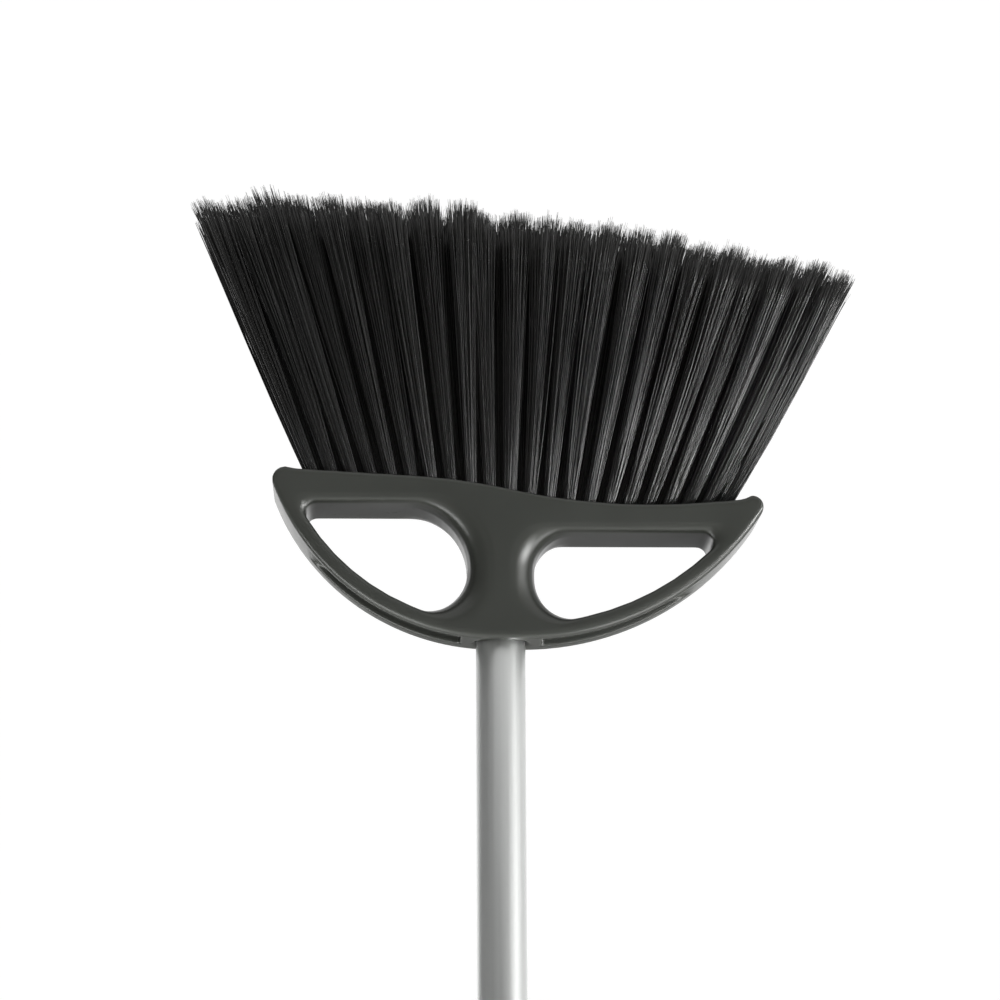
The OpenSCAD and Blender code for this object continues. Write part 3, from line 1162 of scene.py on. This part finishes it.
@dataclass
class ThreadedTip:
    """The plug in the tube's end, its flange and its coarse thread."""

    tube_bore: float = 8.525 * MM
    flange_radius: float = 9.275 * MM
    flange: float = 3.0 * MM
    thread_radius: float = 8.0 * MM
    thread_depth: float = 1.3 * MM
    thread_length: float = 22.0 * MM
    pitch: float = 5.08 * MM
    crest: float = 1.4 * MM
    root: float = 2.9 * MM
    chamfer: float = 1.5 * MM
    ridge_sink: float = 0.4 * MM
    plug_gap: float = 0.03 * MM
    steps: int = 72
    node: str = "handle_tip"

    def build(self, finishes: Finishes) -> bpy.types.Object:
        """Models and dresses the tip.

        Args:
            finishes: The broom's finishes.

        Returns:
            The finished piece.
        """
        low, high = (corner.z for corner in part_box(self.node))
        seat = low + self.thread_length
        core = self.thread_radius - self.thread_depth
        plug = self.tube_bore - self.plug_gap
        profile = [
            (0.0, low),
            (core - self.chamfer, low),
            (core, low + self.chamfer),
            (core, seat),
            (self.flange_radius, seat),
            (self.flange_radius, seat + self.flange),
            (plug, seat + self.flange),
            (plug, high - self.chamfer),
            (plug - self.chamfer, high),
            (0.0, high),
        ]
        piece = Bench.turned("threaded_tip", profile, self.steps)
        Bench.combine(piece, self._thread(low, seat), "UNION")
        Bench.smooth(piece)
        finishes.coat(piece, Slot.TIP)
        hand_over(piece, Body.HANDLE, Slot.TIP, self.node)
        return piece

    def _thread(self, low: float, seat: float) -> bpy.types.Object:
        """Winds the thread's ridge.

        Args:
            low: The tip's lower end.
            seat: The flange's lower face.

        Returns:
            The ridge, sunk a little into the core.
        """
        turns = (self.thread_length - 2.0 * self.chamfer - self.root) / self.pitch
        inner = self.thread_radius - self.thread_depth - self.ridge_sink
        start = low + self.chamfer + self.root / 2.0
        ridge = Bench.outline(
            "ridge",
            [
                (inner, 0.0, start - self.root / 2.0),
                (self.thread_radius, 0.0, start - self.crest / 2.0),
                (self.thread_radius, 0.0, start + self.crest / 2.0),
                (inner, 0.0, start + self.root / 2.0),
            ],
        )
        Bench.modify(
            ridge,
            "SCREW",
            angle=2.0 * math.pi * turns,
            screw_offset=self.pitch * turns,
            steps=round(self.steps * turns),
            render_steps=round(self.steps * turns),
        )
        Bench.close_up(ridge)
        return ridge


@dataclass
class Staples:
    """The flat wire anchors, which stay as packed."""

    rows: int = ROWS

    def dress(self, nodes: dict[str, bpy.types.Object], finishes: Finishes) -> None:
        """Gives every row of anchors its finish.

        Args:
            nodes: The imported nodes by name.
            finishes: The broom's finishes.
        """
        for number in range(1, self.rows + 1):
            row = nodes[f"staple_row_{number}"]
            finishes.coat(row, Slot.STAPLE)
            LOG.info("%s keeps its packed mesh", row.name)


# The studio


@dataclass(frozen=True)
class Softbox:
    """A flat light, or a card that only reflections show, which faces the head.

    Attributes:
        name: What it is called.
        azimuth: Its bearing in degrees from the front, towards the short side.
        elevation: Its height in degrees, up along the handle.
        reach: Its distance from the point that it faces.
        size: Its width and height.
        radiance: How bright it is, where 1 is white.
        shown: Whether reflections show it, for a lamp.
        cast: Whether it lights matt surfaces, for a lamp.
        beam: How far a lamp's light spreads, in degrees.
        offset: Where the point that it faces lies from the aim.
    """

    WIDEST = 180.0

    name: str
    azimuth: float
    elevation: float
    reach: float
    size: tuple[float, float]
    radiance: float
    shown: bool = True
    cast: bool = True
    beam: float = WIDEST
    offset: Point = (0.0, 0.0, 0.0)

    def _stand(self, thing: bpy.types.Object, aim: Vector) -> None:
        """Puts it in its place and faces it to the head.

        Args:
            thing: The lamp or card.
            aim: The point on the head that its offset is measured from.
        """
        across, up = math.radians(self.azimuth), math.radians(self.elevation)
        way = Vector((-math.sin(across) * math.cos(up), -math.cos(across) * math.cos(up), math.sin(up)))
        thing.name = self.name
        thing.location = aim + Vector(self.offset) + way * self.reach
        thing.rotation_mode = "QUATERNION"
        thing.rotation_quaternion = (-way).to_track_quat("-Z", "Y")
        thing.visible_camera = False

    def light(self, aim: Vector) -> None:
        """Adds it as a lamp.

        Args:
            aim: The point on the head that its offset is measured from.
        """
        bpy.ops.object.light_add(type="AREA")
        lamp = bpy.context.object
        lamp.data.shape = "RECTANGLE"
        lamp.data.size, lamp.data.size_y = self.size
        lamp.data.energy = self.radiance * math.pi * self.size[0] * self.size[1]
        if self.beam < self.WIDEST:
            half = math.radians(self.beam) / 2.0
            lamp.data.spread = 2.0 * half
            lamp.data.energy *= 1.0 - half / math.tan(half)
        lamp.visible_glossy = self.shown
        lamp.visible_diffuse = self.cast
        self._stand(lamp, aim)

    def hang(self, aim: Vector) -> None:
        """Adds it as a card.

        Args:
            aim: The point on the head that its offset is measured from.
        """
        Bench.clear()
        bpy.ops.mesh.primitive_plane_add(size=1.0)
        card = bpy.context.object
        card.scale = (*self.size, 1.0)
        self._stand(card, aim)
        material, graph, _ = _material(self.name)
        material.cycles.emission_sampling = "NONE"
        glow = graph.add("ShaderNodeEmission", {"Color": WHITE, "Strength": self.radiance})
        graph.feed(material.node_tree.nodes["Material Output"], "Surface", glow.outputs["Emission"])
        card.data.materials.append(material)
        card.visible_diffuse = False
        card.visible_shadow = False
        card.visible_transmission = False


@dataclass
class Studio:
    """Camera, lamps, floor and world."""

    mouth: float
    aim_x: float = -0.04 * MM
    aim_depth: float = 56.96 * MM
    distance: float = 1.28
    elevation: float = math.radians(12.6)
    yaw: float = math.radians(2.36)
    roll: float = math.radians(-0.295)
    millimetres_a_pixel: float = 0.3885
    picture: int = 1000
    sensor: float = 36.0
    sight: float = 200.0
    floor_drop: float = 1.0
    floor_size: float = 120.0
    floor_colour: Colour = (0.9, 0.9, 0.9)
    floor_rough: float = 0.9
    floor_glow: float = 1.08
    floor_white: float = 0.9
    ambient: float = 0.35
    backdrop: float = 1.0

    def build(self) -> None:
        """Builds the whole studio."""
        self._camera()
        self._floor()
        self._world()
        self._lamps()

    @property
    def aim(self) -> Vector:
        """The point on the head that the camera looks at."""
        return Vector((self.aim_x, 0.0, self.mouth - self.aim_depth))

    def _camera(self) -> None:
        """Adds the camera, which sees the broom from the handle's side with the bristles up."""
        level = math.cos(self.elevation)
        forward = Vector(
            (-math.sin(self.yaw) * level, math.cos(self.yaw) * level, -math.sin(self.elevation))
        )
        right = -Vector((math.cos(self.yaw), math.sin(self.yaw), 0.0))
        up = right.cross(forward)
        turned = Matrix.Rotation(self.roll, 3, -forward)
        right, up = turned @ right, turned @ up
        place = self.aim - self.distance * forward
        bpy.ops.object.camera_add()
        camera = bpy.context.object
        camera.name = "camera"
        camera.matrix_world = Matrix(
            [(right[i], up[i], -forward[i], place[i]) for i in range(3)] + [(0.0, 0.0, 0.0, 1.0)]
        )
        camera.data.sensor_width = self.sensor
        camera.data.lens = self.distance / (self.millimetres_a_pixel * MM) * self.sensor / self.picture
        camera.data.clip_end = self.sight
        bpy.context.scene.camera = camera

    def _floor(self) -> None:
        """Adds the pale floor, well below the tips."""
        low = min(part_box(f"bristle_row_{number}")[0].z for number in range(1, ROWS + 1))
        Bench.clear()
        bpy.ops.mesh.primitive_plane_add(size=self.floor_size, location=(0.0, 0.0, low - self.floor_drop))
        floor = Bench.settle("floor")
        material, graph, shader = _material("pale_floor")
        shader.inputs["Base Color"].default_value = (*self.floor_colour, 1.0)
        shader.inputs["Roughness"].default_value = self.floor_rough
        white = graph.add("ShaderNodeEmission", {"Color": WHITE, "Strength": self.floor_glow})
        mix = graph.add("ShaderNodeMixShader")
        graph.feed(mix, 0, graph.math("MULTIPLY", self._seen(graph), self.floor_white))
        graph.feed(mix, 1, shader.outputs["BSDF"])
        graph.feed(mix, 2, white.outputs["Emission"])
        end = material.node_tree.nodes["Material Output"]
        graph.feed(end, "Surface", mix.outputs["Shader"])
        floor.data.materials.append(material)

    @staticmethod
    def _seen(graph: Graph) -> bpy.types.NodeSocket:
        """A value that is 1 for rays that show the background: straight, mirrored or through glass.

        Args:
            graph: The material's or world's graph.

        Returns:
            The value's socket.
        """
        path = graph.add("ShaderNodeLightPath")
        shown = graph.math("MAXIMUM", path.outputs["Is Camera Ray"], path.outputs["Is Glossy Ray"])
        return graph.math("MAXIMUM", shown, path.outputs["Is Transmission Ray"])

    def _world(self) -> None:
        """Makes a white background and a soft, even light."""
        world = bpy.data.worlds.new("studio")
        world.use_nodes = True
        bpy.context.scene.world = world
        graph = Graph(world.node_tree)
        white = world.node_tree.nodes["Background"]
        white.inputs["Color"].default_value = WHITE
        graph.feed(white, "Strength", graph.spread(self._seen(graph), self.ambient, self.backdrop))

    def _lamps(self) -> None:
        """Adds the lamps, and the cards that only reflections show."""
        for lamp in (
            Softbox(
                "key", 64.0, 16.0, 1.0, (0.6, 0.36), 14.0,
                beam=34.0, offset=(-0.06, -0.01, -0.05),
            ),
            Softbox(
                "sheen", 52.0, 15.0, 1.0, (0.6, 0.36), 56.0,
                cast=False, beam=30.0, offset=(-0.12, -0.01, -0.065),
            ),
            Softbox("top", -10.0, 88.0, 1.25, (1.2, 0.6), 6.4, shown=False),
            Softbox("fill", 4.0, 12.0, 1.9, (1.1, 1.1), 3.8, shown=False),
        ):
            lamp.light(self.aim)
        for card in (
            Softbox("left_flag", -78.0, 0.0, 1.3, (3.2, 3.0), 0.27),
            Softbox("front_flag", -7.0, 0.0, 2.0, (1.3, 3.2), 0.25),
            Softbox("near_flag", 29.0, 0.0, 2.0, (1.3, 3.2), 0.45),
            Softbox("side_card", 68.0, -10.0, 1.3, (0.42, 0.6), 2.5),
            Softbox("handle_left_card", -80.0, 50.0, 1.2, (0.5, 1.0), 8.0),
            Softbox("handle_right_card", 80.0, 50.0, 1.2, (0.5, 1.0), 8.0),
            Softbox("back_card", 180.0, -4.0, 1.5, (2.6, 0.36), 1.7),
            Softbox("back_flag", 180.0, 24.0, 1.45, (3.2, 0.9), 0.24),
        ):
            card.hang(self.aim)


def main() -> None:
    """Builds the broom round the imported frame."""
    logging.basicConfig(level=logging.INFO, format="%(name)s %(message)s")
    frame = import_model()
    Bench.clear()
    bpy.context.scene.view_settings.view_transform = "Standard"
    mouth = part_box("head")[1].z
    nodes = frame["nodes"]
    Studio(mouth).build()
    finishes = Finishes()
    finishes.build()
    for moulding in (
        Moulding(
            "head", "head_moulding", Body.HEAD, Slot.HEAD,
            voxel=0.57 * MM, soften=8, most_triangles=195_000,
        ),
        Moulding(
            "hang_cap", "cap_moulding", Body.CAP, Slot.CAP,
            voxel=0.4 * MM, soften=4, most_triangles=60_000,
        ),
    ):
        moulding.build(nodes[moulding.node], finishes)
    edge, fan = BristleEdge(mouth), BristleFan(mouth)
    stencil = FilamentStencil().model()
    for number in range(1, ROWS + 1):
        BristleRow(number, edge, fan).build(stencil, finishes, np.random.default_rng(SEED + number))
    HandleTube().build(mouth, finishes)
    ThreadedTip().build(finishes)
    Staples().dress(nodes, finishes)


if __name__ == "__main__":
    main()
